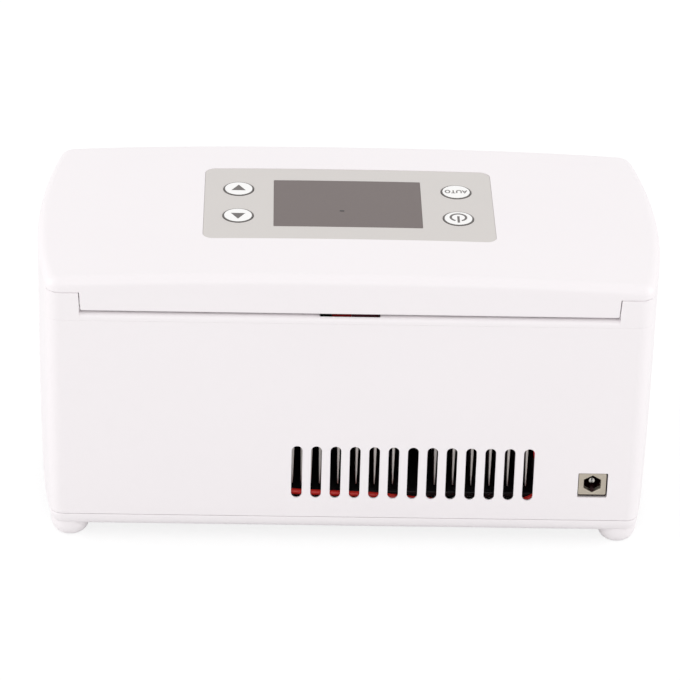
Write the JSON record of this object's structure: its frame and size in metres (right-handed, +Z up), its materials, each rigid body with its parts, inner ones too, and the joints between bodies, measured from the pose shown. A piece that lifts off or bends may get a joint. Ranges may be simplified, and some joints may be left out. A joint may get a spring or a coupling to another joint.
{
  "type": "insulin cooling case",
  "caption": "Bench-top insulin cooling case: a rear-hinged lid with a display and buttons over a chilled tray, cooled by fans and finned heat sinks.",
  "frame": {"origin": "under the middle of the case, on the surface that its feet stand on", "axes": "+Z up; +Y towards the user's front, away from the hinge; +X to the right seen from the hinge side, along the case's length"},
  "size_m": [0.21, 0.101, 0.102],
  "materials": {
    "case_white": "moulded, soft gloss",
    "button_white": "moulded, soft gloss",
    "panel_grey": "satin film",
    "window_dark": "smooth",
    "black_plastic": "moulded",
    "aluminium": "extruded",
    "steel": "plated",
    "inlet_metal": "plated",
    "foam": "closed-cell foam",
    "silicone": "matt",
    "ceramic": "matt",
    "board_green": "solder mask",
    "cell_sleeve": "shrink sleeve",
    "red_lead": "sleeve",
    "black_lead": "sleeve"
  },
  "bodies": {
    "case": {"foot_rear_left": "case_white", "foot_rear_right": "case_white", "foot_front_right": "case_white", "foot_front_left": "case_white", "case_screw_rear_left": "steel", "case_screw_rear_right": "steel", "case_screw_front_right": "steel", "case_screw_front_left": "steel", "outer_shell": "case_white", "bottom_cover": "case_white", "top_frame": "case_white", "frame_magnet": "steel", "hinge_pin_left": "steel", "hinge_pin_right": "steel", "cold_tray": "aluminium", "tray_insulation": "foam", "cold_block_left": "aluminium", "cold_block_right": "aluminium", "cooling_module_left": "ceramic", "cooling_module_right": "ceramic", "heat_sink_left": "aluminium", "heat_sink_right": "aluminium", "air_duct": "black_plastic", "fan_frame_left": "black_plastic", "fan_frame_right": "black_plastic", "battery_holder": "black_plastic", "battery_cell_1": "cell_sleeve", "battery_cell_2": "cell_sleeve", "main_board": "board_green", "board_controller": "black_plastic", "board_capacitor": "aluminium", "board_connector": "ceramic", "inlet_face": "inlet_metal", "inlet_body": "black_plastic", "inlet_pin": "steel", "battery_lead_red": "red_lead", "battery_lead_black": "black_lead", "module_lead_red": "red_lead", "lid_harness_lower": "black_lead"},
    "lid": {"lid_shell": "case_white", "control_panel": "panel_grey", "display_window": "window_dark", "key_switch_up": "black_plastic", "key_switch_down": "black_plastic", "key_switch_power": "black_plastic", "key_switch_auto": "black_plastic", "display_board": "board_green", "display_module": "black_plastic", "lid_liner": "case_white", "lid_magnet": "steel", "lid_foam": "foam", "lid_gasket": "silicone", "lid_harness_upper": "black_lead"},
    "up_key": {"up_button": "button_white"},
    "down_key": {"down_button": "button_white"},
    "power_key": {"power_button": "button_white"},
    "auto_key": {"auto_button": "button_white"},
    "left_rotor": {"fan_rotor_left": "black_plastic"},
    "right_rotor": {"fan_rotor_right": "black_plastic"}
  },
  "joints": [
    {"name": "lid_hinge", "type": "hinge", "parent": "case", "child": "lid", "pos_m": [0, -0.0485, 0.0903], "axis": [1, 0, 0], "range_deg": [0, 105]},
    {"name": "up_press", "type": "slide", "parent": "lid", "child": "up_key", "axis": [0, 0, -1], "range_m": [0, 0.0005], "stiffness_N_per_m": 600, "springref_m": -0.0005},
    {"name": "down_press", "type": "slide", "parent": "lid", "child": "down_key", "axis": [0, 0, -1], "range_m": [0, 0.0005], "stiffness_N_per_m": 600, "springref_m": -0.0005},
    {"name": "power_press", "type": "slide", "parent": "lid", "child": "power_key", "axis": [0, 0, -1], "range_m": [0, 0.0005], "stiffness_N_per_m": 600, "springref_m": -0.0005},
    {"name": "auto_press", "type": "slide", "parent": "lid", "child": "auto_key", "axis": [0, 0, -1], "range_m": [0, 0.0005], "stiffness_N_per_m": 600, "springref_m": -0.0005},
    {"name": "fan_left_spin", "type": "hinge", "parent": "case", "child": "left_rotor", "pos_m": [0.00065, 0.0045, 0.0277], "axis": [0, 1, 0], "continuous": true},
    {"name": "fan_right_spin", "type": "hinge", "parent": "case", "child": "right_rotor", "pos_m": [0.04575, 0.0045, 0.0277], "axis": [0, 1, 0], "continuous": true}
  ]
}
